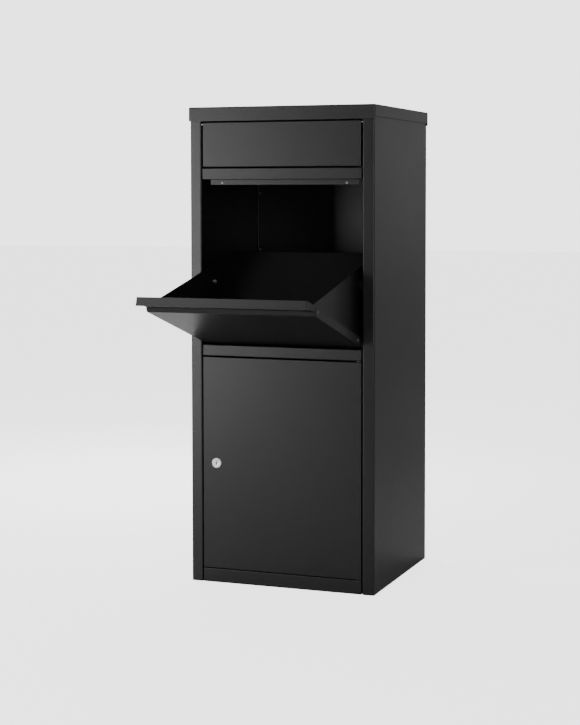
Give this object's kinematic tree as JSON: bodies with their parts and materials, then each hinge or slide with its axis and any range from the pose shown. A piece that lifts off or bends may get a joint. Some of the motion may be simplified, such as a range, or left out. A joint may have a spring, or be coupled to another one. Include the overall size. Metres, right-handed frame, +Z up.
{
  "type": "parcel drop box",
  "caption": "Free-standing black steel parcel drop box with a swing-down parcel hopper, a letter flap above it and a lockable collection door below.",
  "frame": {"origin": "on the floor, at the centre of the four anchor holes in the base", "axes": "+Z up, -Y towards the front with the door, +X to the right of a person facing the front"},
  "size_m": [0.42, 0.6959, 1.02],
  "materials": {
    "black_powder_coat": "satin fine-textured powder coat",
    "zinc_plated_steel": "bright zinc plate",
    "bright_chrome": "polished chrome plate",
    "black_rubber": "matt",
    "black_nylon": "matt",
    "rivet_aluminium": "satin"
  },
  "bodies": {
    "cabinet": {"lid": "black_powder_coat", "left_side_panel": "black_powder_coat", "right_side_panel": "black_powder_coat", "back_panel": "black_powder_coat", "back_panel_rivets": "rivet_aluminium", "base_plate": "black_powder_coat", "bottom_rail": "black_powder_coat", "mid_rail": "black_powder_coat", "upper_rail": "black_powder_coat", "stop_strip": "black_powder_coat", "stop_strip_rivets": "rivet_aluminium", "hopper_pivot_pins": "zinc_plated_steel", "letter_flap_pins": "zinc_plated_steel", "door_pivot_pins": "zinc_plated_steel", "door_stop_pads": "black_rubber"},
    "hopper": {"hopper_flap": "black_powder_coat", "hopper_handle": "black_powder_coat", "hopper_left_wing": "black_powder_coat", "hopper_right_wing": "black_powder_coat", "hopper_rear_plate": "black_powder_coat", "hopper_rivets": "rivet_aluminium", "hopper_bushes": "black_nylon", "hopper_stop_bolts": "zinc_plated_steel", "hopper_stop_bumpers": "black_rubber", "hopper_stop_nuts": "zinc_plated_steel"},
    "letter_flap": {"letter_flap": "black_powder_coat"},
    "door": {"door_panel": "black_powder_coat", "door_stiffener": "black_powder_coat", "door_bushes": "black_nylon", "lock_body": "bright_chrome", "lock_nut": "zinc_plated_steel"},
    "lock": {"lock_plug": "bright_chrome", "lock_cam": "zinc_plated_steel", "cam_screw": "zinc_plated_steel"}
  },
  "joints": [
    {"name": "hopper_hinge", "type": "hinge", "parent": "cabinet", "child": "hopper", "pos_m": [0, -0.18, 0.5247], "axis": [-1, 0, 0], "range_deg": [0, 73]},
    {"name": "letter_flap_hinge", "type": "hinge", "parent": "cabinet", "child": "letter_flap", "pos_m": [0, -0.1844, 0.9834], "axis": [1, 0, 0], "range_deg": [0, 60]},
    {"name": "door_hinge", "type": "hinge", "parent": "cabinet", "child": "door", "pos_m": [0.172, -0.1806, 0.259], "axis": [0, 0, 1], "range_deg": [0, 105]},
    {"name": "lock_turn", "type": "hinge", "parent": "door", "child": "lock", "pos_m": [-0.148, -0.1876, 0.259], "axis": [0, 1, 0], "range_deg": [0, 90]}
  ]
}
